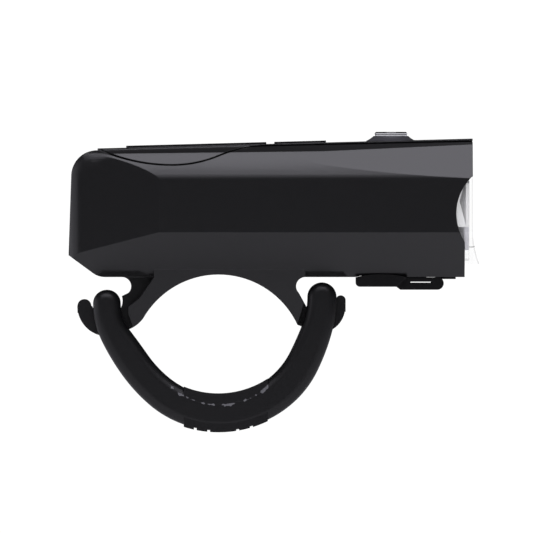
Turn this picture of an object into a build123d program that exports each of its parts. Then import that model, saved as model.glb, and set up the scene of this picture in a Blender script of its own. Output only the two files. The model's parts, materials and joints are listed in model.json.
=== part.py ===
from build123d import *
import os
from math import acos, atan2, cos, hypot, sin, sqrt

# A small handlebar bike headlight, in millimetres. X points forward to the lens, Y to the rider's left,
# Z up. The origin is on the handlebar's axis, midway across the saddle.

os.makedirs("parts", exist_ok=True)

# General clearances
overrun = 3.0                # how far a cutter runs past what it cuts
slip = 0.1                   # gap between pieces that slide together
seat_gap = 0.05              # gap between a piece and its seat
run_gap = 0.08               # radial clearance of a turning or travelling fit

# Handlebar saddle
bar_radius = 17.5            # oversize handlebar
saddle_half = 8.0            # half the width of the saddle pads at the body
saddle_low_half = 6.5        # and at their lower ends
hook_half = 3.6              # half the width of the hooks

# Body form
half_width = 14.5
belly_half = 6.6
belly_z = 17.0
belt_low_z = 25.96
belt_high_z = 37.6
belt_round = 3.5             # eases the edge between the flat side and the shoulder
shoulder_lean = 0.35         # how much the shoulder leans in where it leaves the side, in radians
tail_shoulder_half = 11.7
knee_shoulder_half = 11.45
nose_shoulder_half = 9.65
rim_half = 8.9
rim_draft = 0.25
rim_foot_share = 0.55        # the part of the raised edge that its drafted foot takes
tail_x = -30.17
tail_lean = 0.55             # the rear face leans forward by this much towards the top
tail_half = 10.4
tail_low_z = 21.4
tail_round = 3.4
tail_top_round = 5.2
chin_round = 4.0             # between the tail's lower chamfer and the underside
chamfer_x = -24.2
taper_x = -12.0
knee_x = 21.6
nose_x = 51.1
chin_x = 49.5
wall = 1.6
floor_thickness = 1.55       # between the saddle's top and the cell
tail_shoulder_z = 41.7
knee_shoulder_z = 42.3
nose_shoulder_z = 43.65
tail_rim_z = 42.2
knee_rim_z = 43.6
nose_rim_z = 44.15
tail_edge_z = 42.4
knee_edge_z = 44.0
nose_edge_z = 44.7
tail_crown_z = 42.77
knee_crown_z = 44.13
nose_crown_z = 44.9
facet_low_z = 36.8
floor_z = bar_radius + floor_thickness

# Hollows in the underside
scoop_z = 18.3
scoop_slope = 1.0
scoop_inner_half = 5.2
rear_scoop_x = -16.0
front_scoop_rear_x = 16.4
front_scoop_x = 26.0

# Front notch for the lens's side windows
notch_top_z = 37.2
notch_low_z = 24.0
notch_mid_x = 47.8
notch_mid_z = 30.5
notch_lip = 0.15

# Top cover and its seam
cover_rear_x = -24.2
cover_proud = 0.4            # how far the cover's rear stands above the housing's tail
seam_gap = 0.3
seam_rear_z = 42.75
seam_low_x = -9.3
seam_low_z = 39.5
seam_turn_x = 0.1
seam_turn_z = 41.41
seam_rise_x = 9.5
seam_rise_z = 43.42
seam_nose_z = 44.3
plug_half = 7.9
plug_rear_x = -22.4
plug_front_x = 44.0
plug_low_z = 40.0
bar_a_rear_x = -18.6
bar_a_front_x = 9.6
bar_b_rear_x = 11.2
bar_b_front_x = 21.6
bar_half = 5.6
bar_height = 0.36
gasket_setback = 0.5

# Strap bars, and the hooks that they lie in
rear_bar_x = -22.5
rear_bar_z = 11.7
rear_bar_radius = 2.75
front_bar_x = 20.8
front_bar_z = 13.0
front_bar_radius = 2.93
rear_hook_x = -22.3
rear_hook_z = 11.2
rear_hook_radius = 6.15
rear_tip_radius = 1.37
front_hook_x = 20.2
front_hook_z = 11.0
front_hook_radius = 5.3
front_tip_radius = 0.98
bar_inset = 0.2              # the bars are this much thinner than the strap's ends
hook_room = 0.62             # room beside the rear bar, inside its hook
front_tip_z = 12.35
arm_root = 1.9               # how deep the arms reach into the body's floor
pocket_radius = 1.85         # rounded gap between the body's underside and an arm
rear_pocket_x = -17.6
front_pocket_x = 15.6
front_arm_foot_x = 17.66
front_arm_foot_z = 11.07
rear_lip_z = 9.78            # where the saddle's arc ends
front_lip_z = 7.37
rear_lip_low_x = -17.6
rear_lip_low_z = 6.66
lip_bulge = 0.25
wide_top_x = -13.0           # edge of the wide rear saddle pad at the body
wide_bend_x = -15.9
wide_bend_z = 12.8
wide_toe_x = -18.2
wide_toe_high_z = 11.0
wide_toe_low_z = 9.7
wide_low_x = -17.15
wide_gap = 0.36

# Rubber strap
strap_gap = 0.35             # between a hook's side and the strap's cords
cord_width = 4.4
strap_drop_z = -13.85        # lowest point of the plain band
strap_round = 1.9
strap_stretches = 5
window_radius = 9.6          # the window for the hook, from the bar's centre
loop_split_z = 2.0
pad_rear_x = -7.0
pad_front_x = 9.9
grip_radius = 18.1
grip_center_x = -0.1
grip_center_z = 11.65
sole_radius = 23.07
sole_center_z = 8.85
groove_width = 0.6
groove_depth = 0.45
groove_xs = (-4.7, -2.0, 3.84, 6.6)
strap_outer_shares = (
    (-0.022, 0.272), (0.032, 0.460), (0.145, 0.712), (0.332, 0.937), (0.524, 1.0),
    (0.721, 0.937), (0.888, 0.745), (0.972, 0.555), (1.030, 0.335),
)
strap_inner_shares = (
    (0.118, 0.209), (0.186, 0.397), (0.270, 0.555), (0.387, 0.687), (0.520, 0.734),
    (0.666, 0.680), (0.777, 0.551), (0.861, 0.350), (0.897, 0.177),
)

# Lens, gasket and reflector
lens_rear_x = 46.2
lens_wall = 1.2
lens_front_wall = 0.7
lens_sill_z = 19.5
lens_tip_x = 52.5
lens_flare_z = 27.0
lens_flare_x = 51.45
lens_flare_mid_z = 23.2
window_inset = 0.25
lens_gasket_thickness = 0.6
lens_ledge = 1.1
lens_ledge_thickness = 1.1
axis_z = 30.8
reflector_back_x = 39.9
reflector_front_x = 48.6
reflector_radius = 9.1
reflector_skin = 0.8
reflector_flange = 0.8
cheek_rear_x = 46.5
cheek_low_z = 22.5
cheek_high_z = 38.5
cheek_thickness = 1.4
cheek_margin = 0.3
cheek_dip = 0.45             # how deep the mirror facets go

# Light source and its heat path
heat_sink_rear_x = 34.6
heat_sink_front_x = 37.8
heat_sink_top_z = 38.2
fin_length = 2.2
fin_thickness = 0.9
fin_pitch = 3.0
fin_count = 7
fin_low_z = 26.2
fin_high_z = 36.2
thermal_pad_thickness = 0.2
thermal_pad_radius = 7.3
led_board_thickness = 1.0
led_board_radius = 7.5
led_side = 3.4
led_base = 0.7
led_dome = 1.3
led_screw_offset = 6.2
led_screw_radius = 0.7
led_screw_head_radius = 1.05
led_screw_head = 0.6
led_screw_length = 2.6

# Cell
cell_rear_x = -24.3
cell_length = 50.0
cell_radius = 9.0
sleeve_thickness = 0.15
cell_cap_radius = 3.0
cell_cap = 0.7
ring_thickness = 0.2
tab_thickness = 0.15
tab_half = 2.5
tab_drop = 3.0
tab_foot = 2.4
rear_foam_half = 6.0
top_foam_half = 3.2
top_foam_length = 34.0
stop_rib_thickness = 0.9
stop_rib_height = 2.8

# Control board
board_lift = 1.02            # from the sleeved cell up to the board
board_thickness = 1.0
board_half = 9.4
board_rear_x = -20.0
board_front_x = 37.5
ledge_depth = 1.9
ledge_half = 8.7
boss_half_width = 1.8
board_screw_y = 8.0
board_screw_xs = (-16.5, 29.5)
board_screw_radius = 0.7
board_screw_head_radius = 1.25
board_screw_head = 0.6
board_screw_length = 1.6

# Components on the control board: the middle's x and y, then length, width and height
controller_place = (2.0, -4.0, 5.0, 5.0, 1.0)
charge_chip_place = (22.0, 3.0, 3.0, 3.0, 0.8)
inductor_place = (12.0, 3.0, 4.0, 4.0, 1.6)
driver_chip_place = (20.0, -4.0, 4.0, 3.0, 1.0)
capacitor_size = (1.6, 1.0, 0.8)
capacitor_places = ((-6.0, -3.0), (-6.0, 0.0), (-6.0, 3.0), (8.0, -5.0))

# Button and switch
button_x = 34.7
button_radius = 3.28
button_top_z = 46.27
button_dish = 0.22
button_edge = 0.28
waist_radius = 3.2
waist_z = 45.62
button_flange_radius = 3.9
button_flange_low_z = 42.0
button_flange = 0.55
bezel_base_radius = 4.95
bezel_top_radius = 3.5
bezel_top_z = 45.42
bezel_hollow = 0.65
button_travel = 0.5
switch_half = 2.0
switch_height = 1.4
plunger_radius = 0.8
plunger_gap = 0.2
led_chip_x = 31.0
led_chip_size = 1.0
led_chip_height = 0.5
led_chip_pitch = 2.0

# Charging socket and its cover
usb_board_rear_x = 28.4
usb_board_thickness = 1.0
usb_board_half = 6.0
usb_board_top_z = 31.0
socket_half = 4.47
socket_depth = 3.26
socket_wall = 0.3
socket_low_z = 17.95
socket_top_z = 25.2
tongue_half = 3.35
tongue_thickness = 0.7
tongue_low_z = 18.8
flap_rear_x = 27.6
flap_pad_half = 7.4
flap_half = 6.2
flap_pad_low_z = 15.05
flap_low_z = 14.45
flap_step_x = 35.8
flap_step_end_x = 36.6
flap_round = 0.85
flap_bulge_front_x = 37.9
flap_bulge_z = 17.62
flap_bulge_x = 32.6
hinge_x = 44.0
hinge_z = 15.75
knuckle_radius = 1.3
knuckle_half = 2.4
trunnion_radius = 0.55
trunnion_length = 0.9
slot_rear_x = 38.6
slot_front_x = 42.9
slot_z = 15.98
slot_height = 0.17
flap_gap = 0.04              # between the flap and the body's underside
land_half = 5.6              # low land inside the flap's rim, sunk in the body
land_height = 0.25
land_inset = 1.2
land_front_x = 41.8
anchor_front_x = 47.7
anchor_thickness = 0.4
sealing_half = 5.0
sealing_depth_half = 2.2
sealing_height = 0.8
sealing_gap = 0.2

# Leads
wire_radius = 0.35
led_wire_y = 3.0
led_wire_start_x = 33.0
led_wire_low_z = 37.0
led_wire_reach = 1.7
usb_wire_pitch = 1.6
usb_wire_count = 4
usb_wire_low_z = 27.5
usb_wire_bend_z = 33.0
usb_wire_step = 1.1

cell_z = floor_z + seat_gap + sleeve_thickness + cell_radius
cell_front_x = cell_rear_x + cell_length
board_low_z = cell_z + cell_radius + sleeve_thickness + board_lift
board_top_z = board_low_z + board_thickness
window_half = hook_half + strap_gap
strap_half = window_half + cord_width
pad_half = strap_half - seat_gap
led_board_x = heat_sink_front_x + thermal_pad_thickness
led_x = led_board_x + led_board_thickness
socket_x = usb_board_rear_x + usb_board_thickness + socket_depth / 2
length_span = nose_x - tail_x


def along(x, at_tail, at_knee, at_nose):
    """A height that runs straight from the tail to the knee, and from there to the nose."""
    if x < knee_x:
        return at_tail + (at_knee - at_tail) * (x - tail_x) / (knee_x - tail_x)
    return at_knee + (at_nose - at_knee) * (x - knee_x) / (nose_x - knee_x)


def crown_z(x):
    return along(x, tail_crown_z, knee_crown_z, nose_crown_z)


def shoulder(x, inset):
    """The shoulder's arc: radius, centre and the angles where it starts and ends."""
    half = along(x, tail_shoulder_half, knee_shoulder_half, nose_shoulder_half)
    low_y = half_width - belt_round * (1 - cos(shoulder_lean))
    run, rise = low_y - half, along(x, tail_shoulder_z, knee_shoulder_z, nose_shoulder_z) - belt_high_z
    turn = 2 * (atan2(run, rise) - shoulder_lean)
    radius = hypot(run, rise) / (2 * sin(turn / 2))
    center_y = low_y - radius * cos(shoulder_lean)
    center_z = belt_high_z - radius * sin(shoulder_lean)
    return radius - inset, center_y, center_z, shoulder_lean, shoulder_lean + turn


def outline(start, *steps):
    """A flat face. Each step is the next point, or (point on the way, next point) for an arc."""
    edges, here = [], start
    for step in steps:
        if isinstance(step[0], tuple):
            edges.append(ThreePointArc(here, step[0], step[1]))
            here = step[1]
        else:
            edges.append(Line(here, step))
            here = step
    if hypot(here[0] - start[0], here[1] - start[1]) > slip / 10:
        edges.append(Line(here, start))
    return make_face(edges)


def slab(face, half):
    """The side outline `face`, drawn as (x, z), given thickness to both sides of the middle."""
    return extrude(Plane.XZ * face, amount=half, both=True)


def block(x0, x1, y0, y1, z0, z1):
    center = ((x0 + x1) / 2, (y0 + y1) / 2, (z0 + z1) / 2)
    return Pos(*center) * Box(x1 - x0, y1 - y0, z1 - z0)


def rod_x(x0, x1, y, z, radius):
    return Pos((x0 + x1) / 2, y, z) * Rot(0, 90, 0) * Cylinder(radius, x1 - x0)


def rod_y(x, z, radius, half, y=0):
    return Pos(x, y, z) * Rot(90, 0, 0) * Cylinder(radius, 2 * half)


def rod_z(x, y, z0, z1, radius):
    return Pos(x, y, (z0 + z1) / 2) * Cylinder(radius, z1 - z0)


def both_sides(solid):
    return solid + mirror(solid, about=Plane.XZ)


def section(x, inset, stepped):
    """The body's cross-section at x, drawn in by `inset`. A stepped one has the cover's raised edge."""
    run, rise = half_width - belly_half, belt_low_z - belly_z
    slant = hypot(run, rise)
    across, down = rise / slant, run / slant
    reach = across * half_width - down * belt_low_z - inset
    side_y, low_z = half_width - inset, belly_z - overrun + inset
    belt_z = (across * side_y - reach) / down
    keel_y = (reach + down * low_z) / across
    radius, center_y, center_z, start, end = shoulder(x, inset)

    def on_arc(angle):
        return center_y + radius * cos(angle), center_z + radius * sin(angle)

    ease = belt_round - inset
    if ease > 0:
        ease_y, ease_z = half_width - belt_round, belt_high_z - belt_round * sin(shoulder_lean)
        middle = (ease_y + ease * cos(start / 2), ease_z + ease * sin(start / 2))
        low_points, ease_middle = [(side_y, ease_z), on_arc(start)], middle
    else:
        start = acos((side_y - center_y) / radius)
        low_points, ease_middle = [on_arc(start)], None
    right_outline = [(keel_y, low_z), (side_y, belt_z), *low_points]
    high_points = [on_arc(end)]
    top_z = crown_z(x)
    if stepped:
        rim_z = along(x, tail_rim_z, knee_rim_z, nose_rim_z)
        edge_z = along(x, tail_edge_z, knee_edge_z, nose_edge_z)
        high_points.append((rim_half - inset, rim_z))
        high_points.append((rim_half - inset - rim_draft, rim_z + rim_foot_share * (edge_z - rim_z)))
        high_points.append((rim_half - inset - rim_draft, edge_z))
    else:
        top_z -= inset
    arc_middle = on_arc((start + end) / 2)
    edges = []
    for side in (1, -1):
        low = [(x, side * y, z) for y, z in right_outline]
        high = [(x, side * y, z) for y, z in high_points]
        edges += [Line(low[0], low[1]), Line(low[1], low[2])]
        if ease_middle:
            edges.append(ThreePointArc(low[2], (x, side * ease_middle[0], ease_middle[1]), low[3]))
        edges.append(ThreePointArc(low[-1], (x, side * arc_middle[0], arc_middle[1]), high[0]))
        edges += [Line(a, b) for a, b in zip(high, high[1:])]
    far = high_points[-1]
    edges.append(ThreePointArc((x, far[0], far[1]), (x, 0, top_z), (x, -far[0], far[1])))
    edges.append(Line((x, keel_y, low_z), (x, -keel_y, low_z)))
    return make_face(edges)


def facet_cutter(inset):
    """What the flat front facet takes off the shoulder, on the +Y side."""
    nose = Vector(nose_x, nose_shoulder_half, nose_shoulder_z)
    back = Vector(knee_x, knee_shoulder_half, knee_shoulder_z) - nose
    down = Vector(nose_x, half_width, facet_low_z) - nose
    outward = down.cross(back).normalized()
    plane = Plane(origin=nose, z_dir=outward).offset(-inset)
    size = 2 * length_span
    return plane * Box(size, size, size, align=(Align.CENTER, Align.CENTER, Align.MIN))


def near(face, point):
    return [v for v in face.vertices() if hypot(v.X - point[0], v.Y - point[1]) < slip]


def side_view(inset, drop):
    """The body's outline from the side: `drop` is how far its top lies below the crown."""
    fall = (tail_low_z - belly_z) / (tail_x - chamfer_x)
    low = belly_z + inset
    top = tail_crown_z - drop
    lean = tail_lean * (top - tail_low_z) / (belt_high_z - tail_low_z)
    lift = inset * hypot(1, fall)
    rear_low = (tail_x + inset, tail_low_z + fall * inset + lift)
    rear_top = (tail_x + lean + inset, top)
    front = lens_tip_x + overrun
    keel = (chamfer_x + (low - belly_z - lift) / fall, low)
    face = Polygon((front, low), keel, rear_low, rear_top, (front, crown_z(front) - drop), align=None)
    face = fillet(near(face, keel), chin_round + inset)
    return fillet(near(face, rear_top), tail_top_round - inset)


def plan_view(inset):
    """The body's outline from above, which narrows behind taper_x to a rounded tail."""
    slope = (half_width - tail_half) / (taper_x - tail_x)
    wide = half_width + overrun
    tail = tail_x + inset
    tail_y = tail_half - inset + slope * inset
    start = (taper_x + (wide - half_width + inset) / slope, wide)
    front = lens_tip_x + overrun
    face = Polygon(
        (front, wide), start, (tail, tail_y), (tail, -tail_y), (start[0], -wide), (front, -wide), align=None
    )
    corners = [v for v in face.vertices() if abs(v.X - tail) < slip]
    return fillet(corners, max(tail_round - inset, slip))


def body_form(inset=0, stepped=False):
    """The body's outer shape, drawn in by `inset`, from behind the tail to past the lens."""
    stations = (tail_x - overrun, knee_x, lens_tip_x + overrun / 2)
    form = loft([section(x, inset, stepped) for x in stations], ruled=True)
    cutter = facet_cutter(inset)
    form -= cutter
    form -= mirror(cutter, about=Plane.XZ)
    plan = Pos(0, 0, belly_z - overrun) * plan_view(inset)
    return form & extrude(plan, amount=nose_crown_z)


def above_seam(lift):
    """Side outline of the space over the cover's seam, which is moved up by `lift`."""
    top = nose_crown_z + overrun
    front = lens_tip_x + overrun
    rise = (seam_nose_z - seam_rise_z) / (nose_x - seam_rise_x)
    rear = (cover_rear_x + lift, seam_rear_z + lift)
    low = (seam_low_x, seam_low_z + lift)
    turn = (seam_turn_x, seam_turn_z + lift)
    high = (seam_rise_x, seam_rise_z + lift)
    radius = ((low[0] - rear[0]) ** 2 + (rear[1] - low[1]) ** 2) / (2 * (rear[1] - low[1]))
    half_run = (low[0] - rear[0]) / 2
    dip = (low[0] - half_run, low[1] + radius - sqrt(radius**2 - half_run**2))
    first = ThreePointArc(rear, dip, low)
    second = TangentArc(low, turn, tangent=(1, 0))
    third = TangentArc(turn, high, tangent=second % 1)
    front_low = (front, high[1] + rise * (front - seam_rise_x))
    rest = [Line(high, front_low), Line(front_low, (front, top))]
    rest += [Line((front, top), (rear[0], top)), Line((rear[0], top), rear)]
    return make_face([first, second, third] + rest)


def front_notch(gap):
    """Side outline of what is missing in front of the lower nose and the side windows."""
    far, low = lens_tip_x + overrun, belly_z - overrun
    return outline(
        (far, notch_top_z - gap),
        (nose_x - notch_lip + gap, notch_top_z - gap),
        ((notch_mid_x + gap, notch_mid_z), (chin_x + gap, notch_low_z)),
        (chin_x + gap, low),
        (far, low),
    )


def pocket(x, toward):
    """Points round a pocket whose closed end is at x. It opens towards -X or +X."""
    center_x, center_z = x + toward * pocket_radius, belly_z - pocket_radius
    share = sqrt(0.5)
    return (
        (center_x, belly_z),
        ((center_x - toward * share * pocket_radius, center_z + share * pocket_radius), (x, center_z)),
        ((center_x - toward * cos(0.4) * pocket_radius, center_z - sin(0.4) * pocket_radius),
         (center_x - toward * share * pocket_radius, center_z - share * pocket_radius)),
    )


def on_bar(z, toward):
    """The point on the saddle's arc at height z."""
    return toward * sqrt(bar_radius**2 - z**2), z


def rear_arm():
    """Side outline of the narrow rear arm."""
    top, gap = belly_z + arm_root, pocket(rear_pocket_x, -1)
    lip = on_bar(rear_lip_z, -1)
    middle = ((lip[0] + rear_lip_low_x) / 2 + lip_bulge, (lip[1] + rear_lip_low_z) / 2 - lip_bulge)
    return outline(
        (gap[0][0], top), *gap, (rear_bar_x, rear_bar_z), (rear_hook_x, rear_hook_z),
        (rear_hook_x, rear_hook_z - rear_hook_radius + slip), (rear_lip_low_x, rear_lip_low_z),
        (middle, lip), (overrun, rear_lip_z), (overrun, top),
    )


def front_arm():
    """Side outline of the narrow front arm."""
    top, gap = belly_z + arm_root, pocket(front_pocket_x, 1)
    return outline(
        (gap[0][0], top), *gap, (front_arm_foot_x, front_arm_foot_z), (front_hook_x, front_hook_z),
        (front_hook_x, front_hook_z - front_hook_radius + slip), on_bar(front_lip_z, 1),
        (-overrun, front_lip_z), (-overrun, top),
    )


def hook(x, z, radius, tip_x, tip_z, tip_radius):
    """Side outline of a hook: the lower part of a disc, with a round tip on its outer side."""
    reach = 2 * radius
    disc = Pos(x, z) * Circle(radius)
    face = disc & (Pos(x, z - reach / 2) * Rectangle(reach, reach))
    face += Pos(tip_x, tip_z) * Circle(tip_radius)
    low = z - tip_radius
    return face + Pos(tip_x, (tip_z + low) / 2) * Rectangle(2 * tip_radius, tip_z - low)


def mount_arms():
    """The saddle, its arms and the two upturned hooks, moulded in one piece with the housing."""
    rear, front = rear_arm(), front_arm()
    far = belly_z + arm_root + overrun
    rear_side = Polygon(
        (wide_top_x, belly_z), (wide_bend_x, wide_bend_z), (wide_toe_x, wide_toe_high_z),
        (wide_toe_x, wide_toe_low_z), (wide_low_x, rear_lip_low_z),
        (wide_low_x, 0), (overrun, 0), (overrun, far), (wide_top_x, far), align=None,
    )
    edge_x = front_bar_x - front_bar_radius - wide_gap
    lip_x = on_bar(front_lip_z, 1)[0]
    front_side = Polygon(
        (-overrun, 0), (lip_x, 0), (lip_x, front_lip_z), (edge_x, front_bar_z), (edge_x, far),
        (-overrun, far), align=None,
    )
    wide = slab(rear & rear_side, saddle_half) + slab(front & front_side, saddle_half)
    low, high = rear_lip_low_z, belly_z + arm_root
    draft = make_face(Polyline(
        (-saddle_low_half, low), (saddle_low_half, low), (saddle_half, high), (-saddle_half, high), close=True
    ))
    wide &= extrude(Plane.YZ * draft, amount=bar_radius + overrun, both=True)
    rear_tip_x = rear_bar_x - rear_bar_radius + bar_inset - hook_room - rear_tip_radius
    front_tip_x = front_bar_x + front_bar_radius - bar_inset + run_gap + front_tip_radius
    rear += hook(rear_hook_x, rear_hook_z, rear_hook_radius, rear_tip_x, rear_hook_z, rear_tip_radius)
    front += hook(front_hook_x, front_hook_z, front_hook_radius, front_tip_x, front_tip_z, front_tip_radius)
    arms = wide + slab(rear, hook_half) + slab(front, hook_half)
    arms -= rod_y(rear_bar_x, rear_bar_z, rear_bar_radius - bar_inset + run_gap, strap_half)
    room = rear_bar_radius - bar_inset + hook_room
    arms -= rod_y(rear_bar_x, rear_bar_z + hook_room - run_gap, room, strap_half)
    return arms - rod_y(front_bar_x, front_bar_z, front_bar_radius - bar_inset + run_gap, strap_half)


def cavity():
    """The housing's inside, open at the nose. Its floor is higher under the lens."""
    far = lens_tip_x + overrun
    high = nose_crown_z + overrun
    room = block(tail_x, lens_rear_x - lens_gasket_thickness, -half_width, half_width, floor_z, high)
    room &= slab(side_view(wall, wall + cover_proud), half_width)
    room += block(heat_sink_rear_x, far, -half_width, half_width, lens_sill_z, high)
    return body_form(wall) & room


def belly_scoops():
    """Shallow hollows under the body, beside the roots of the two arms."""
    rear = Polygon(
        (chamfer_x - scoop_slope, belly_z), (chamfer_x + scoop_slope, scoop_z), (rear_scoop_x, scoop_z),
        (wide_top_x, belly_z + slip), (wide_top_x, 0), (chamfer_x - scoop_slope, 0), align=None,
    )
    front = Polygon(
        (front_scoop_rear_x, belly_z), (front_scoop_rear_x + scoop_slope, scoop_z - slip),
        (front_scoop_x - scoop_slope, scoop_z - slip), (front_scoop_x, belly_z), (front_scoop_x, 0),
        (front_scoop_rear_x, 0), align=None,
    )
    far = saddle_half + overrun
    scoops = slab(rear, far) + slab(front, far)
    return scoops - block(tail_x, nose_x, -scoop_inner_half, scoop_inner_half, 0, nose_crown_z)


def lens_ledge_ring():
    """The ledge in the nose that the lens and its gasket seat on."""
    front = lens_rear_x - lens_gasket_thickness
    rear = front - lens_ledge_thickness
    ring = body_form(wall / 2) & block(rear, front, -half_width, half_width, floor_z - slip, axis_z * 2)
    hole = body_form(wall + lens_ledge)
    hole &= block(rear - overrun, front + overrun, -half_width, half_width, lens_sill_z + slip, axis_z * 2)
    return ring - hole - slab(above_seam(-seam_gap / 2), half_width)


def board_supports():
    """Ledges along the inside walls, with four wider seats where the board's screws go."""
    top, bottom = board_low_z, board_low_z - ledge_depth
    front = heat_sink_rear_x - slip
    ledges = block(board_rear_x, front, ledge_half, half_width, bottom, top)
    for x in board_screw_xs:
        inner = board_screw_y - boss_half_width
        ledges += block(x - boss_half_width, x + boss_half_width, inner, half_width, bottom, top)
    ledges &= body_form(wall / 2)
    for x in board_screw_xs:
        hole_low = top - board_screw_length - seat_gap
        ledges -= rod_z(x, board_screw_y, hole_low, top + overrun, board_screw_radius)
    return both_sides(ledges)


def main_housing():
    shell = body_form(stepped=True) & slab(side_view(0, cover_proud), half_width)
    shell &= block(tail_x - overrun, nose_x, -half_width, half_width, 0, nose_crown_z + overrun)
    shell -= slab(above_seam(-seam_gap / 2), half_width)
    shell -= cavity()
    gap_half = plug_half + slip
    shell -= block(
        plug_rear_x - slip, plug_front_x + slip, -gap_half, gap_half, plug_low_z, nose_crown_z + overrun
    )
    shell += lens_ledge_ring()
    shell += board_supports()
    rib_x = cell_front_x + slip
    rib = block(rib_x, rib_x + stop_rib_thickness, -half_width, half_width, floor_z - slip, floor_z + stop_rib_height)
    shell += rib & body_form(wall / 2)
    shell -= belly_scoops()
    shell += mount_arms()
    shell -= rod_y(0, 0, bar_radius, half_width)
    shell -= slab(front_notch(0), half_width)
    return shell - port_cutters()


def port_cutters():
    """The socket's mouth, the recess for the cover's plug, the finger notch and the hinge's relief."""
    mouth_half, mouth_depth = socket_half + slip, socket_depth / 2 + slip
    mouth = block(socket_x - mouth_depth, socket_x + mouth_depth, -mouth_half, mouth_half, belly_z, floor_z + slip)
    half, depth = sealing_half + sealing_gap, sealing_depth_half + sealing_gap
    top = belly_z + sealing_height + slip
    recess = block(socket_x - depth, socket_x + depth, -half, half, belly_z - overrun, top)
    notch = slab(finger_notch(0), half_width) + slab(flap_land(slip), land_half + slip)
    relief = rod_y(hinge_x, hinge_z, knuckle_radius + slip, flap_half + slip)
    return mouth + recess + notch + relief


def finger_notch(drop):
    """Side outline of the shallow arc over the port cover's rear, lowered by `drop`."""
    low = belly_z - overrun
    rear, front = flap_rear_x - slip, flap_bulge_front_x + slip
    crest = (flap_bulge_x, flap_bulge_z - drop)
    return outline((rear, low), (rear, belly_z - drop), (crest, (front, belly_z - drop)), (front, low))


def flap_land(grow):
    """Side outline of the low land on the port cover, or with `grow` of the hollow that it sinks in."""
    rear, front = flap_rear_x + land_inset - grow, land_front_x + grow
    top = belly_z + land_height + grow
    flat = Polygon((flap_bulge_x, flap_low_z), (front, flap_low_z), (front, top), (flap_bulge_x, top), align=None)
    window = Polygon(
        (rear, belly_z - flap_round), (front, belly_z - flap_round), (front, floor_z), (rear, floor_z), align=None
    )
    return (finger_notch(-land_height - grow) + flat) & window


def top_cover():
    form = body_form(stepped=True)
    space = slab(above_seam(seam_gap / 2), half_width)
    plug = block(plug_rear_x, plug_front_x, -plug_half, plug_half, plug_low_z, nose_crown_z + overrun)
    cover = (form & (space + plug)) - body_form(wall)
    cover &= block(tail_x, nose_x, -half_width, half_width, belly_z, nose_crown_z + overrun)
    for rear, front in ((bar_a_rear_x, bar_a_front_x), (bar_b_rear_x, bar_b_front_x)):
        cover += raised_bar(rear, front)
    return cover - rod_z(button_x, 0, belt_high_z, button_top_z, button_radius + run_gap)


def raised_bar(rear, front):
    low, high = crown_z(rear), crown_z(front)
    side = outline(
        (rear, low - bar_height), (front, high - bar_height), (front, high + bar_height),
        (rear, low + bar_height),
    )
    bar = slab(side, bar_half)
    top = bar.edges().filter_by(Axis.Z)
    return fillet(top, bar_height * 2)


def cover_gasket():
    space = slab(above_seam(-seam_gap / 2), half_width) - slab(above_seam(seam_gap / 2), half_width)
    ring = (body_form(gasket_setback, stepped=True) & space) - body_form(wall)
    half = plug_half + slip
    ring -= block(plug_rear_x - slip, plug_front_x + slip, -half, half, plug_low_z, nose_crown_z + overrun)
    return ring & block(tail_x, nose_x - seat_gap, -half_width, half_width, belly_z, button_top_z)


def lens_space(inset, rear_x, front_x, low_z):
    return body_form(inset) & block(rear_x, front_x, -half_width, half_width, low_z, nose_crown_z)


def front_lens():
    low, fit = lens_sill_z + slip, wall + slip
    side = outline(
        (lens_rear_x, low), (lens_tip_x, low),
        ((lens_flare_x, lens_flare_mid_z), (nose_x, lens_flare_z)),
        (nose_x, nose_crown_z), (lens_rear_x, nose_crown_z),
    )
    lens = body_form(fit) & slab(side, half_width)
    ears = body_form(window_inset) & slab(front_notch(slip), half_width) & slab(side, half_width)
    lens += ears & block(
        lens_rear_x, lens_tip_x, -half_width, half_width, notch_low_z, notch_top_z - slip
    )
    return lens - lens_space(
        fit + lens_wall, lens_rear_x - overrun, nose_x - lens_front_wall, low + lens_wall
    )


def lens_gasket():
    rear, front = lens_rear_x - lens_gasket_thickness, lens_rear_x
    ring = lens_space(wall + slip, rear, front, lens_sill_z + slip)
    return ring - lens_space(wall + lens_ledge, rear - slip, front + slip, lens_sill_z + lens_ledge)


def reflector():
    """A parabolic bowl with a front flange and two cheeks behind the lens's side windows."""
    depth = reflector_front_x - reflector_back_x
    focus = (sqrt(depth**2 + reflector_radius**2) - depth) / 2
    inner = [(reflector_back_x + depth * s, 2 * sqrt(focus * (depth * s + focus))) for s in (0, 0.08, 0.25, 0.55, 1)]
    outer = [(x, r + reflector_skin) for x, r in reversed(inner)]
    lift = Pos(0, axis_z) * make_face(
        [Spline(*inner), Line(inner[-1], outer[0]), Spline(*outer), Line(outer[-1], inner[0])]
    )
    bowl = revolve(Plane.XZ * lift, axis=Axis((0, 0, axis_z), (1, 0, 0)))
    fit = wall + 2 * slip + lens_wall
    front = reflector_front_x + reflector_flange / 2
    low = lens_sill_z + lens_wall + 2 * slip
    flange = lens_space(fit, front - reflector_flange, front, low)
    flange -= rod_x(lens_rear_x, nose_x, 0, axis_z, reflector_radius)
    tip = nose_x - lens_front_wall - slip
    cheeks = (body_form(fit) - body_form(fit + cheek_thickness)) & block(
        cheek_rear_x, tip, -half_width, half_width, cheek_low_z, cheek_high_z
    )
    return bowl + flange + cheeks - both_sides(cheek_facets(half_width - fit, tip - cheek_rear_x))


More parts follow.
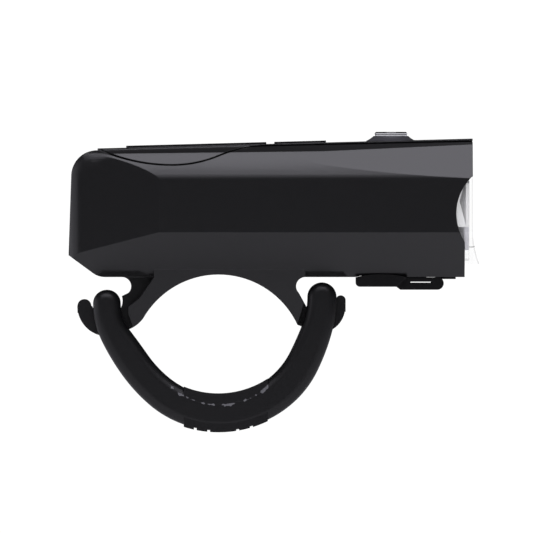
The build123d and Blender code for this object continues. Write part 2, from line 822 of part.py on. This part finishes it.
def cheek_facets(face_y, length):
    """A shallow pyramid whose four mirror facets meet in an X behind the lens's side window."""
    edge = cheek_margin
    rim = Pos(0, 0, slip) * Rectangle(length - 2 * edge, cheek_high_z - belt_low_z - 2 * edge)
    point = Pos(0, 0, -cheek_dip) * Rectangle(slip, slip)
    middle = Vector(cheek_rear_x + length / 2, face_y, (belt_low_z + cheek_high_z) / 2)
    return Plane(origin=middle, x_dir=(1, 0, 0), z_dir=(0, 1, 0)) * loft([rim, point], ruled=True)


def heat_sink():
    plate = body_form(wall + slip) & block(
        heat_sink_rear_x, heat_sink_front_x, -half_width, half_width, floor_z + seat_gap, heat_sink_top_z
    )
    for n in range(fin_count):
        y = (n - (fin_count - 1) / 2) * fin_pitch
        plate += block(
            heat_sink_rear_x - fin_length, heat_sink_rear_x, y - fin_thickness / 2, y + fin_thickness / 2,
            fin_low_z, fin_high_z,
        )
    for side in (-1, 1):
        hole_x = led_x - led_screw_length - seat_gap
        plate -= rod_x(hole_x, led_x, side * led_screw_offset, axis_z, led_screw_radius)
    return plate


def led_board():
    disc = rod_x(led_board_x, led_x, 0, axis_z, led_board_radius)
    for side in (-1, 1):
        disc -= rod_x(heat_sink_front_x, led_x + slip, side * led_screw_offset, axis_z, led_screw_radius)
    return disc


def thermal_pad():
    disc = rod_x(heat_sink_front_x, led_board_x, 0, axis_z, thermal_pad_radius)
    for side in (-1, 1):
        disc -= rod_x(heat_sink_rear_x, led_x, side * led_screw_offset, axis_z, led_screw_radius)
    return disc


def led_emitter():
    half = led_side / 2
    base = block(led_x, led_x + led_base, -half, half, axis_z - half, axis_z + half)
    return base + (Pos(led_x + led_base, 0, axis_z) * Sphere(led_dome)) - block(
        heat_sink_rear_x, led_x, -half, half, axis_z - half, axis_z + half
    )


def led_board_screws():
    screws = []
    for side in (-1, 1):
        y = side * led_screw_offset
        shank = rod_x(led_x - led_screw_length, led_x, y, axis_z, led_screw_radius)
        screws.append(shank + rod_x(led_x, led_x + led_screw_head, y, axis_z, led_screw_head_radius))
    return screws


def battery_cell():
    cell = rod_x(cell_rear_x, cell_front_x, 0, cell_z, cell_radius)
    return cell + rod_x(cell_front_x, cell_front_x + cell_cap, 0, cell_z, cell_cap_radius)


def cell_sleeve():
    outside = rod_x(cell_rear_x, cell_front_x, 0, cell_z, cell_radius + sleeve_thickness)
    return outside - rod_x(cell_rear_x - slip, cell_front_x + slip, 0, cell_z, cell_radius)


def insulator_ring():
    disc = rod_x(cell_front_x, cell_front_x + ring_thickness, 0, cell_z, cell_radius - sleeve_thickness)
    disc -= rod_x(cell_front_x, cell_front_x + cell_cap, 0, cell_z, cell_cap_radius + slip)
    floor_rib = floor_z + stop_rib_height + slip
    return disc & block(cell_rear_x, nose_x, -half_width, half_width, floor_rib, nose_crown_z)


def battery_tab(x, toward):
    """A nickel strip from the middle of a cell's end up to a foot under the control board."""
    top = board_low_z
    outer = x + toward * tab_thickness
    strip = block(min(x, outer), max(x, outer), -tab_half, tab_half, cell_z - tab_drop, top)
    foot = x + toward * tab_foot
    return strip + block(min(x, foot), max(x, foot), -tab_half, tab_half, top - tab_thickness, top)


def rear_foam():
    rear = tail_x + tail_lean + wall + seat_gap
    front = cell_rear_x - tab_thickness
    return block(
        rear, front, -rear_foam_half, rear_foam_half, cell_z - rear_foam_half, cell_z + rear_foam_half
    )


def top_foam():
    half = top_foam_length / 2
    middle = (cell_rear_x + cell_front_x) / 2
    pad = block(middle - half, middle + half, -top_foam_half, top_foam_half, cell_z, board_low_z)
    return pad - rod_x(cell_rear_x, cell_front_x, 0, cell_z, cell_radius + sleeve_thickness)


def main_board():
    board = block(board_rear_x, board_front_x, -board_half, board_half, board_low_z, board_top_z)
    for x in board_screw_xs:
        for side in (-1, 1):
            board -= rod_z(x, side * board_screw_y, floor_z, board_top_z + slip, board_screw_radius)
    return board & body_form(wall + slip)


def board_screws():
    screws = []
    for x in board_screw_xs:
        for side in (-1, 1):
            y = side * board_screw_y
            low = board_low_z - board_screw_length
            shank = rod_z(x, y, low, board_top_z, board_screw_radius)
            screws.append(shank + rod_z(x, y, board_top_z, board_top_z + board_screw_head, board_screw_head_radius))
    return screws


def on_board(x, y, length, width, height):
    """A component on the control board's upper face."""
    return block(x - length / 2, x + length / 2, y - width / 2, y + width / 2, board_top_z, board_top_z + height)


def power_button():
    edge = button_top_z - button_edge
    flange_top = button_flange_low_z + button_flange
    side = outline(
        (0, button_flange_low_z), (button_flange_radius, button_flange_low_z),
        (button_flange_radius, flange_top), (button_radius, flange_top),
        (button_radius, bezel_top_z - button_travel), (waist_radius, waist_z - button_edge),
        (waist_radius, waist_z), (button_radius, waist_z + button_edge / 2), (button_radius, edge),
        (button_radius - button_edge, button_top_z), (0, button_top_z),
    )
    cap = revolve(Plane.XZ * side, axis=Axis.Z)
    dish_radius = (button_radius**2 / button_dish + button_dish) / 2
    cap -= Pos(0, 0, button_top_z - button_dish + dish_radius) * Sphere(dish_radius)
    return Pos(button_x, 0, 0) * cap


def button_bezel():
    low = crown_z(button_x) - slip
    side = outline(
        (button_radius + run_gap, low - wall / 2), (bezel_base_radius, low - wall / 2),
        (bezel_base_radius, low + slip),
        ((bezel_top_radius + bezel_hollow, (low + bezel_top_z) / 2), (bezel_top_radius, bezel_top_z)),
        (button_radius + run_gap, bezel_top_z),
    )
    ring = Pos(button_x, 0, 0) * revolve(Plane.XZ * side, axis=Axis.Z)
    return ring - body_form(stepped=True)


def tactile_switch():
    body = on_board(button_x, 0, 2 * switch_half, 2 * switch_half, switch_height)
    return body - rod_z(button_x, 0, board_top_z + plunger_gap, board_top_z + overrun, plunger_radius + run_gap)


def switch_plunger():
    low = board_top_z + plunger_gap + button_travel + slip
    return rod_z(button_x, 0, low, button_flange_low_z, plunger_radius)


def status_leds():
    return [
        on_board(led_chip_x, n * led_chip_pitch, led_chip_size, led_chip_size, led_chip_height)
        for n in (-1, 0, 1)
    ]


def usb_board():
    x = usb_board_rear_x
    board = block(
        x, x + usb_board_thickness, -usb_board_half, usb_board_half, floor_z + seat_gap, usb_board_top_z
    )
    return board & body_form(wall + slip)


def socket_tube(half, depth, low_z, high_z):
    face = RectangleRounded(2 * depth, 2 * half, depth * 0.98)
    return extrude(Pos(socket_x, 0, low_z) * face, amount=high_z - low_z)


def usb_socket_shell():
    half, depth = socket_half, socket_depth / 2
    shell = socket_tube(half, depth, socket_low_z, socket_top_z)
    return shell - socket_tube(
        half - socket_wall, depth - socket_wall, socket_low_z - slip, socket_top_z - socket_wall
    )


def usb_socket_tongue():
    half = tongue_thickness / 2
    top = socket_top_z - socket_wall
    return block(socket_x - half, socket_x + half, -tongue_half, tongue_half, tongue_low_z, top)


def usb_port_cover():
    """A rubber flap whose two knuckles turn on short pins in the anchor's knuckle."""
    top = belly_z - flap_gap
    side = outline(
        (flap_rear_x, flap_pad_low_z + flap_round), (flap_rear_x, top - flap_round / 2),
        (flap_rear_x + flap_round / 2, top), (hinge_x, top), (hinge_x, flap_low_z),
        (flap_step_end_x, flap_low_z), (flap_step_x, flap_pad_low_z),
        (flap_rear_x + flap_round, flap_pad_low_z),
        ((flap_rear_x + flap_round * 0.29, flap_pad_low_z + flap_round * 0.29),
         (flap_rear_x, flap_pad_low_z + flap_round)),
    )
    flap = slab(side, flap_half) + rod_y(hinge_x, hinge_z, knuckle_radius, flap_half)
    crown = outline(
        (flap_rear_x, flap_pad_low_z + flap_round), (flap_rear_x, top),
        ((flap_bulge_x, flap_bulge_z - flap_gap), (flap_bulge_front_x, top)),
        (flap_step_x, flap_pad_low_z + slip), (flap_rear_x + flap_round, flap_pad_low_z + slip),
    )
    flap += slab(crown, flap_pad_half) + slab(flap_land(0), land_half)
    plug = socket_plug()
    slot = block(
        slot_rear_x, slot_front_x, -half_width, half_width, slot_z - slot_height / 2, slot_z + slot_height / 2
    )
    clear = rod_y(hinge_x, hinge_z, knuckle_radius + slip, knuckle_half + slip)
    clear += block(
        hinge_x, anchor_front_x, -knuckle_half - slip, knuckle_half + slip, flap_low_z - slip, belly_z
    )
    flap = flap + plug - slot - clear
    for side_y in (-1, 1):
        y = side_y * (knuckle_half + slip - trunnion_length / 2)
        flap += rod_y(hinge_x, hinge_z, trunnion_radius, trunnion_length / 2 + slip, y)
    return flap


def socket_plug():
    """The raised block on the cover that seals the socket's recess."""
    plug = block(
        socket_x - sealing_depth_half, socket_x + sealing_depth_half, -sealing_half, sealing_half,
        belly_z - flap_gap - flap_round, belly_z + sealing_height,
    )
    return plug


def flap_anchor():
    """The fixed end of the port cover: a thin foot under the body, and the knuckle between the flap's two."""
    foot = block(
        hinge_x + knuckle_radius + slip, anchor_front_x, -flap_half, flap_half, belly_z - anchor_thickness,
        belly_z,
    )
    knuckle = rod_y(hinge_x, hinge_z, knuckle_radius, knuckle_half)
    web = block(
        hinge_x, hinge_x + knuckle_radius + 2 * slip, -knuckle_half, knuckle_half, belly_z - anchor_thickness,
        belly_z,
    )
    anchor = foot + knuckle + web
    for side in (-1, 1):
        y = side * (knuckle_half - trunnion_length / 2 + slip)
        anchor -= rod_y(hinge_x, hinge_z, trunnion_radius + run_gap, trunnion_length / 2 + slip, y)
    return anchor


def strap_point(share_x, share_z):
    """A point on the strap: a share of the way between the bars, and of its drop."""
    x = rear_bar_x + share_x * (front_bar_x - rear_bar_x)
    return x, rear_bar_z - share_z * (rear_bar_z - strap_drop_z)


def arcs_along(curve, count):
    """Tangent arcs that follow a smooth curve, two to each of its stretches."""
    edges = []
    for n in range(count):
        start, end = curve @ (n / count), curve @ ((n + 1) / count)
        leave, arrive = curve % (n / count), curve % ((n + 1) / count)
        chord, both = end - start, leave + arrive
        bend = 2 * (1 - leave.dot(arrive))
        reach = (sqrt(chord.dot(both) ** 2 + bend * chord.dot(chord)) - chord.dot(both)) / bend
        meet = (start + end + (leave - arrive) * reach) / 2
        first = TangentArc(start, meet, tangent=leave)
        edges += [first, TangentArc(meet, end, tangent=first % 1)]
    return edges


def strap_band():
    """The plain band with its round ends, before the windows for the hooks."""
    outer = [(rear_bar_x - rear_bar_radius, rear_bar_z)]
    outer += [strap_point(*share) for share in strap_outer_shares]
    outer.append((front_bar_x + front_bar_radius, front_bar_z))
    inner = [(rear_bar_x + rear_bar_radius, rear_bar_z)]
    inner += [strap_point(*share) for share in strap_inner_shares]
    inner.append((front_bar_x - front_bar_radius, front_bar_z))
    ends = ((0, -1), (0, 1))
    edges = arcs_along(Spline(*outer, tangents=ends), strap_stretches)
    edges += arcs_along(Spline(*inner, tangents=ends), strap_stretches)
    edges.append(ThreePointArc(outer[0], (rear_bar_x, rear_bar_z + rear_bar_radius), inner[0]))
    edges.append(ThreePointArc(outer[-1], (front_bar_x, front_bar_z + front_bar_radius), inner[-1]))
    band = slab(make_face(edges), strap_half)
    sides = band.faces().sort_by(Axis.Y)
    return fillet(sides[0].edges() + sides[-1].edges(), strap_round)


def strap_pads():
    """The grip pad inside the band and the grooved sole outside it, as one block."""
    def edge_z(x, radius, center_x, center_z):
        return center_z - sqrt(radius**2 - (x - center_x) ** 2)

    middle = (pad_rear_x + pad_front_x) / 2
    grip = [(x, edge_z(x, grip_radius, grip_center_x, grip_center_z)) for x in (pad_rear_x, middle, pad_front_x)]
    sole = [(x, edge_z(x, sole_radius, 0, sole_center_z)) for x in (pad_front_x, middle, pad_rear_x)]
    block_side = outline(grip[0], (grip[1], grip[2]), sole[0], (sole[1], sole[2]))
    pads = slab(block_side, pad_half)
    for x in groove_xs:
        z = edge_z(x, sole_radius, 0, sole_center_z)
        pads -= block(x - groove_width / 2, x + groove_width / 2, -pad_half, pad_half, z - overrun, z + groove_depth)
    return pads


def strap():
    """The whole strap, and the space that its front loop fills."""
    whole = strap_band() + strap_pads()
    for x, z, radius in ((rear_bar_x, rear_bar_z, rear_bar_radius), (front_bar_x, front_bar_z, front_bar_radius)):
        whole -= rod_y(x, z, window_radius, window_half)
        whole += rod_y(x, z, radius - bar_inset, window_half + strap_round / 2)
    far = 2 * strap_half + front_bar_x
    loop_space = block(0, far, -far, far, loop_split_z, far)
    return whole, loop_space


def lead(points, radius, bend):
    route = FilletPolyline(*points, radius=bend)
    start = Plane(origin=points[0], z_dir=Vector(*points[1]) - Vector(*points[0]))
    return sweep(start * Circle(radius), path=route)


def led_lead(side):
    """A lead from the control board's top over its front edge to the LED board."""
    y, z = side * led_wire_y, board_top_z + wire_radius
    reach = led_x + led_wire_reach
    points = [(led_wire_start_x, y, z), (reach, y, z), (reach, y, led_wire_low_z), (led_x, y, led_wire_low_z)]
    return lead(points, wire_radius, 3 * wire_radius)


def usb_leads():
    """Leads from the socket's board up to the control board."""
    leads = []
    x = usb_board_rear_x + usb_board_thickness + wire_radius
    for n in range(usb_wire_count):
        y = (n - (usb_wire_count - 1) / 2) * usb_wire_pitch
        points = [
            (x, y, usb_wire_low_z), (x, y, usb_wire_bend_z), (x + usb_wire_step, y, usb_wire_bend_z + 2 * usb_wire_step),
            (x + usb_wire_step, y, board_low_z),
        ]
        leads.append(lead(points, wire_radius, 3 * wire_radius))
    return leads


def save(name, piece):
    solids = [s for p in (piece if isinstance(piece, list) else [piece]) for s in p.solids()]
    shape = solids[0] if len(solids) == 1 else Compound(children=solids)
    shape.label = name
    export_step(shape, os.path.join("parts", name + ".step"))


save("main_housing", main_housing())
save("top_cover", top_cover())
save("cover_gasket", cover_gasket())
save("front_lens", front_lens())
save("lens_gasket", lens_gasket())
save("reflector", reflector())
save("heat_sink", heat_sink())
save("thermal_pad", thermal_pad())
save("led_board", led_board())
save("led_emitter", led_emitter())
save("led_board_screws", led_board_screws())
save("battery_cell", battery_cell())
save("cell_sleeve", cell_sleeve())
save("insulator_ring", insulator_ring())
save("battery_tab_front", battery_tab(cell_front_x + cell_cap, 1))
save("battery_tab_rear", battery_tab(cell_rear_x, -1))
save("battery_foam_rear", rear_foam())
save("battery_foam_top", top_foam())
save("main_board", main_board())
save("board_screws", board_screws())
save("controller_chip", on_board(*controller_place))
save("charge_chip", on_board(*charge_chip_place))
save("inductor", on_board(*inductor_place))
save("driver_chip", on_board(*driver_chip_place))
save("capacitors", [on_board(x, y, *capacitor_size) for x, y in capacitor_places])
save("tactile_switch", tactile_switch())
save("switch_plunger", switch_plunger())
save("status_leds", status_leds())
save("power_button", power_button())
save("button_bezel", button_bezel())
save("usb_board", usb_board())
save("usb_socket_shell", usb_socket_shell())
save("usb_socket_tongue", usb_socket_tongue())
save("usb_port_cover", usb_port_cover())
save("flap_anchor", flap_anchor())
whole_strap, front_loop_space = strap()
save("rubber_strap", whole_strap - front_loop_space)
save("strap_front_loop", whole_strap & front_loop_space)
save("led_lead_red", led_lead(1))
save("led_lead_black", led_lead(-1))
save("usb_leads", usb_leads())
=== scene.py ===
"""The looks of a handlebar bike headlight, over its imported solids. Metres, in the frame of the solids."""

import json
from math import pi

import bpy
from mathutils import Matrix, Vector

MM = 0.001

# The photograph's frame, in millimetres in the plane of the object's middle
FRAME_WIDTH = 107.35
FRAME_CENTER = (9.64, 0.0, 19.13)
CAMERA_DISTANCE = 5000.0
SENSOR = 36.0
CLIP_NEAR, CLIP_FAR = 0.05, 200.0      # metres

# The studio. Strips are (height, y, brightness)
FLOOR_Z = -52.0
FLOOR_RADIUS = 420.0
FLOOR_CORNERS = 96
FLOOR_PAINT = (0.86, 0.86, 0.86)
LIGHT_TINT = (0.985, 0.97, 1.06)
LIGHTS_X = 10
TOP_PANEL_Y = -270
TOP_PANEL_HEIGHT = 640
TOP_PANEL_SIZE = (760, 640)
TOP_PANEL_BRIGHTNESS = 3.5
STRIPS = ((560, -640, 1.7), (440, -660, 0.9), (330, -680, 0.45))
STRIP_SIZE = (760, 120)
STRIP_AIM_Z = 40
SIDE_CARD_PLACE = (-620, 60, 60)
SIDE_CARD_AIM = (-20, 60, 30)
SIDE_CARD_SIZE = (980, 420)
SIDE_CARD_BRIGHTNESS = 0.8
SEEN_WHITE = 1.05
MIRRORED_WHITE = 0.85
ROOM_STRENGTH = 0.035

# The fine moulded grain. Its depth is in millimetres
GRAIN_SCALE = 2600.0
GRAIN_DETAIL = 3.0
GRAIN_DEPTH = 0.02
EDGE_SAMPLES = 6

# The tail's upper corners, in millimetres, look rounder than the other edges
TAIL_CORNER_X = (-21.0, -25.0)
TAIL_CORNER_Z = (36.5, 39.0)
TAIL_CORNER_ROUND = 3.2

# The pale painted highlight on the strap's sides: an arc, in millimetres
PAINTED_HIGHLIGHT_CENTER = (0.2, 6.2)
PAINTED_HIGHLIGHT_RADIUS = 14.9
PAINTED_HIGHLIGHT_WIDTH = 1.8
PAINTED_HIGHLIGHT_REACH = 9.8
PAINTED_HIGHLIGHT_SIDE = 6.6
PAINTED_HIGHLIGHT_COLOR = (0.16, 0.16, 0.17)
STRAP_GRAIN = 0.2
RAGGED_SCALE = 900.0
RAGGED_DETAIL = 4.0
RAGGED_LEVEL = 0.44          # how much of the noise stays off the line

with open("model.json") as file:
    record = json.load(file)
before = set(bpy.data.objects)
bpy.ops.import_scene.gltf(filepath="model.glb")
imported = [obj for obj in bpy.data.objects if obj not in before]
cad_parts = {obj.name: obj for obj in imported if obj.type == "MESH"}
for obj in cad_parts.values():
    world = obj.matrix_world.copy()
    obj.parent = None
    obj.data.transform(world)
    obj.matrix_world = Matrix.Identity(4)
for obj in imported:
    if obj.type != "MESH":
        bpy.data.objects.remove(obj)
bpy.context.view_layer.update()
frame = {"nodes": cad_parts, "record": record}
nodes = frame["nodes"]


# Materials ------------------------------------------------------------------------------------

def new_material(name):
    material = bpy.data.materials.new(name)
    material.use_nodes = True
    tree = material.node_tree
    return material, tree, tree.nodes["Principled BSDF"]


def calc(tree, operation, *values):
    """A math node. Its values are numbers or the sockets of other nodes."""
    node = tree.nodes.new("ShaderNodeMath")
    node.operation = operation
    for socket, value in zip(node.inputs, values):
        if isinstance(value, (int, float)):
            socket.default_value = value
        else:
            tree.links.new(value, socket)
    return node.outputs[0]


def ramp(tree, value, ends):
    """0 at the first of the ends, in millimetres, and 1 at the second."""
    node = tree.nodes.new("ShaderNodeMapRange")
    node.interpolation_type = "SMOOTHSTEP"
    node.inputs["From Min"].default_value = ends[0] * MM
    node.inputs["From Max"].default_value = ends[1] * MM
    tree.links.new(value, node.inputs["Value"])
    return node.outputs["Result"]


def edge_and_grain(tree, shader, edge, grain_strength, round_tail=False):
    """Rounds sharp edges in the shading and adds a fine moulded grain."""
    bump = tree.nodes.new("ShaderNodeBump")
    bump.inputs["Strength"].default_value = grain_strength
    bump.inputs["Distance"].default_value = GRAIN_DEPTH * MM
    noise = tree.nodes.new("ShaderNodeTexNoise")
    noise.inputs["Scale"].default_value = GRAIN_SCALE
    noise.inputs["Detail"].default_value = GRAIN_DETAIL
    where = tree.nodes.new("ShaderNodeTexCoord")
    tree.links.new(where.outputs["Object"], noise.inputs["Vector"])
    tree.links.new(noise.outputs["Fac"], bump.inputs["Height"])
    if edge:
        bevel = tree.nodes.new("ShaderNodeBevel")
        bevel.samples = EDGE_SAMPLES
        if round_tail:
            split = tree.nodes.new("ShaderNodeSeparateXYZ")
            tree.links.new(where.outputs["Object"], split.inputs[0])
            behind = ramp(tree, split.outputs["X"], TAIL_CORNER_X)
            above = ramp(tree, split.outputs["Z"], TAIL_CORNER_Z)
            at_corner = calc(tree, "MULTIPLY", behind, above)
            extra = (TAIL_CORNER_ROUND - edge) * MM
            radius = calc(tree, "MULTIPLY_ADD", at_corner, extra, edge * MM)
            tree.links.new(radius, bevel.inputs["Radius"])
        else:
            bevel.inputs["Radius"].default_value = edge * MM
        tree.links.new(bevel.outputs["Normal"], bump.inputs["Normal"])
    tree.links.new(bump.outputs["Normal"], shader.inputs["Normal"])


def plastic(name, color, rough, edge=0.0, grain=0.0, spec=0.5, round_tail=False):
    material, tree, shader = new_material(name)
    shader.inputs["Base Color"].default_value = (*color, 1)
    shader.inputs["Roughness"].default_value = rough
    shader.inputs["Specular IOR Level"].default_value = spec
    if edge or grain:
        edge_and_grain(tree, shader, edge, grain, round_tail)
    return material


def metal(name, color, rough, metal_share=1.0):
    material, _, shader = new_material(name)
    shader.inputs["Base Color"].default_value = (*color, 1)
    shader.inputs["Metallic"].default_value = metal_share
    shader.inputs["Roughness"].default_value = rough
    return material


def clear(name, color, rough, ior, coat=0.0):
    material, _, shader = new_material(name)
    shader.inputs["Base Color"].default_value = (*color, 1)
    shader.inputs["Roughness"].default_value = rough
    shader.inputs["Transmission Weight"].default_value = 1.0
    shader.inputs["IOR"].default_value = ior
    shader.inputs["Coat Weight"].default_value = coat
    return material


def rubber_with_painted_highlight(name, color, rough, spec):
    """Strap rubber, with a broken pale painted highlight on each side along the edge of the grip pad."""
    material, tree, shader = new_material(name)
    edge_and_grain(tree, shader, 0, STRAP_GRAIN)
    shader.inputs["Specular IOR Level"].default_value = spec
    where = tree.nodes.new("ShaderNodeTexCoord")
    split = tree.nodes.new("ShaderNodeSeparateXYZ")
    tree.links.new(where.outputs["Object"], split.inputs[0])
    ragged = tree.nodes.new("ShaderNodeTexNoise")
    ragged.inputs["Scale"].default_value = RAGGED_SCALE
    ragged.inputs["Detail"].default_value = RAGGED_DETAIL
    tree.links.new(where.outputs["Object"], ragged.inputs["Vector"])
    across = calc(tree, "SUBTRACT", split.outputs["X"], PAINTED_HIGHLIGHT_CENTER[0] * MM)
    above = calc(tree, "SUBTRACT", split.outputs["Z"], PAINTED_HIGHLIGHT_CENTER[1] * MM)
    squares = calc(tree, "ADD", calc(tree, "POWER", across, 2), calc(tree, "POWER", above, 2))
    distance = calc(tree, "SQRT", squares)
    off_line = calc(tree, "ABSOLUTE", calc(tree, "SUBTRACT", distance, PAINTED_HIGHLIGHT_RADIUS * MM))
    wander = calc(tree, "MULTIPLY", ragged.outputs["Fac"], PAINTED_HIGHLIGHT_WIDTH * MM)
    reach = calc(tree, "SUBTRACT", wander, RAGGED_LEVEL * PAINTED_HIGHLIGHT_WIDTH * MM)
    on_line = calc(tree, "LESS_THAN", off_line, reach)
    within = calc(tree, "LESS_THAN", calc(tree, "ABSOLUTE", across), PAINTED_HIGHLIGHT_REACH * MM)
    low = calc(tree, "LESS_THAN", above, 0)
    side = calc(tree, "GREATER_THAN", calc(tree, "ABSOLUTE", split.outputs["Y"]), PAINTED_HIGHLIGHT_SIDE * MM)
    on_arc = calc(tree, "MULTIPLY", on_line, within)
    # The painted highlight: where this mask is on, a pale grey is mixed into the rubber's base colour
    painted_highlight_mask = calc(tree, "MULTIPLY", on_arc, calc(tree, "MULTIPLY", low, side))
    mix = tree.nodes.new("ShaderNodeMix")
    mix.data_type = "RGBA"
    mix.inputs["A"].default_value = (*color, 1)
    mix.inputs["B"].default_value = (*PAINTED_HIGHLIGHT_COLOR, 1)
    tree.links.new(painted_highlight_mask, mix.inputs["Factor"])
    tree.links.new(mix.outputs["Result"], shader.inputs["Base Color"])
    shader.inputs["Roughness"].default_value = rough
    return material


LOOKS = {
    "housing_black": plastic(
        "housing_black", (0.0045, 0.0045, 0.005), 0.36, edge=0.22, grain=0.15, round_tail=True
    ),
    "cover_black": plastic("cover_black", (0.005, 0.005, 0.0055), 0.36, edge=0.18, grain=0.15),
    "seal_rubber": plastic("seal_rubber", (0.02, 0.02, 0.02), 0.6),
    "lens_clear": clear("lens_clear", (0.99, 0.99, 0.99), 0.0, 1.05, coat=1.0),
    "reflector_silver": metal("reflector_silver", (0.92, 0.92, 0.93), 0.22, 0.55),
    "heat_sink_metal": metal("heat_sink_metal", (0.72, 0.73, 0.75), 0.35),
    "thermal_grey": plastic("thermal_grey", (0.35, 0.37, 0.4), 0.7),
    "circuit_green": plastic("circuit_green", (0.012, 0.09, 0.035), 0.3),
    "board_white": plastic("board_white", (0.75, 0.75, 0.72), 0.4),
    "led_yellow": plastic("led_yellow", (0.85, 0.68, 0.12), 0.25),
    "screw_steel": metal("screw_steel", (0.62, 0.63, 0.64), 0.3),
    "cell_steel": metal("cell_steel", (0.66, 0.67, 0.69), 0.3),
    "sleeve_blue": plastic("sleeve_blue", (0.012, 0.04, 0.25), 0.25),
    "insulator_white": plastic("insulator_white", (0.7, 0.7, 0.66), 0.8),
    "tab_nickel": metal("tab_nickel", (0.7, 0.69, 0.66), 0.35),
    "foam_grey": plastic("foam_grey", (0.05, 0.05, 0.055), 0.9),
    "chip_black": plastic("chip_black", (0.01, 0.01, 0.011), 0.4),
    "ferrite_grey": plastic("ferrite_grey", (0.04, 0.04, 0.045), 0.6),
    "ceramic_tan": plastic("ceramic_tan", (0.4, 0.26, 0.14), 0.4),
    "switch_metal": metal("switch_metal", (0.62, 0.63, 0.65), 0.3),
    "plunger_black": plastic("plunger_black", (0.012, 0.012, 0.013), 0.4),
    "indicator_white": plastic("indicator_white", (0.8, 0.82, 0.8), 0.3),
    "button_smoke": clear("button_smoke", (0.5, 0.5, 0.54), 0.12, 1.45),
    "bezel_black": plastic("bezel_black", (0.05, 0.05, 0.056), 0.3, edge=0.1),
    "socket_steel": metal("socket_steel", (0.68, 0.69, 0.71), 0.25),
    "tongue_black": plastic("tongue_black", (0.01, 0.01, 0.01), 0.4),
    "flap_rubber": plastic(
        "flap_rubber", (0.004, 0.004, 0.0045), 0.42, edge=0.2, grain=0.2, spec=0.25
    ),
    # The strap rubber carries a pale painted highlight along each grip pad edge
    "strap_rubber": rubber_with_painted_highlight("strap_rubber", (0.006, 0.006, 0.0065), 0.4, 0.35),
    "lead_red": plastic("lead_red", (0.5, 0.01, 0.01), 0.35),
    "lead_black": plastic("lead_black", (0.01, 0.01, 0.01), 0.35),
    "lead_grey": plastic("lead_grey", (0.13, 0.13, 0.14), 0.35),
}

for row in frame["record"]["subparts"]:
    mesh = nodes[row["node"]].data
    mesh.materials.clear()
    mesh.materials.append(LOOKS[row["material_slot"]])


# Studio ---------------------------------------------------------------------------------------

def soft_panel(name, place, aim, size, brightness):
    """A rectangular light. Its brightness is that of its surface, as the black plastic reflects it."""
    data = bpy.data.lights.new(name, "AREA")
    data.shape = "RECTANGLE"
    data.size, data.size_y = size[0] * MM, size[1] * MM
    data.energy = brightness * pi * data.size * data.size_y
    data.color = LIGHT_TINT
    lamp = bpy.data.objects.new(name, data)
    bpy.context.scene.collection.objects.link(lamp)
    lamp.location = Vector(place) * MM
    lamp.rotation_euler = (Vector(aim) - Vector(place)).to_track_quat("-Z", "Y").to_euler()


def white_floor():
    bpy.ops.mesh.primitive_circle_add(
        vertices=FLOOR_CORNERS, radius=FLOOR_RADIUS * MM, fill_type="NGON", location=(0, 0, FLOOR_Z * MM)
    )
    floor = bpy.context.object
    floor.name = "studio_floor"
    paint, _, shader = new_material("studio_floor_paint")
    shader.inputs["Base Color"].default_value = (*FLOOR_PAINT, 1)
    shader.inputs["Roughness"].default_value = 1.0
    shader.inputs["Specular IOR Level"].default_value = 0.0
    floor.data.materials.append(paint)


def dark_room(seen_white, mirrored_white, room_strength):
    """White for the camera, also through the lens. Mirrors behind it see grey, all else is dark."""
    world = bpy.data.worlds.new("studio_world")
    bpy.context.scene.world = world
    world.use_nodes = True
    tree = world.node_tree
    backdrop = tree.nodes["Background"]
    backdrop.inputs["Color"].default_value = (1, 1, 1, 1)
    ray = tree.nodes.new("ShaderNodeLightPath")
    straight = calc(tree, "LESS_THAN", ray.outputs["Glossy Depth"], 0.5)
    through_glass = calc(tree, "MULTIPLY_ADD", straight, seen_white - mirrored_white, mirrored_white)
    beyond_glass = calc(tree, "MULTIPLY", ray.outputs["Is Transmission Ray"], through_glass)
    direct = calc(tree, "MULTIPLY", ray.outputs["Is Camera Ray"], seen_white)
    brightest = calc(tree, "MAXIMUM", direct, beyond_glass)
    tree.links.new(calc(tree, "MAXIMUM", brightest, room_strength), backdrop.inputs["Strength"])


def studio():
    view = bpy.context.scene.view_settings
    view.view_transform = "Standard"
    view.look = "None"
    white_floor()
    dark_room(SEEN_WHITE, MIRRORED_WHITE, ROOM_STRENGTH)
    above = (LIGHTS_X, TOP_PANEL_Y, TOP_PANEL_HEIGHT)
    soft_panel("top_panel", above, (LIGHTS_X, TOP_PANEL_Y, 0), TOP_PANEL_SIZE, TOP_PANEL_BRIGHTNESS)
    for height, y, brightness in STRIPS:
        place = (LIGHTS_X, y, height)
        soft_panel("front_strip_%d" % height, place, (0, 0, STRIP_AIM_Z), STRIP_SIZE, brightness)
    soft_panel("side_card", SIDE_CARD_PLACE, SIDE_CARD_AIM, SIDE_CARD_SIZE, SIDE_CARD_BRIGHTNESS)


def camera():
    data = bpy.data.cameras.new("camera")
    data.sensor_width = SENSOR
    data.lens = SENSOR * CAMERA_DISTANCE / FRAME_WIDTH
    data.clip_start, data.clip_end = CLIP_NEAR, CLIP_FAR
    eye = bpy.data.objects.new("camera", data)
    bpy.context.scene.collection.objects.link(eye)
    eye.location = Vector((FRAME_CENTER[0], -CAMERA_DISTANCE, FRAME_CENTER[2])) * MM
    eye.rotation_euler = (pi / 2, 0, 0)
    bpy.context.scene.camera = eye


studio()
camera()
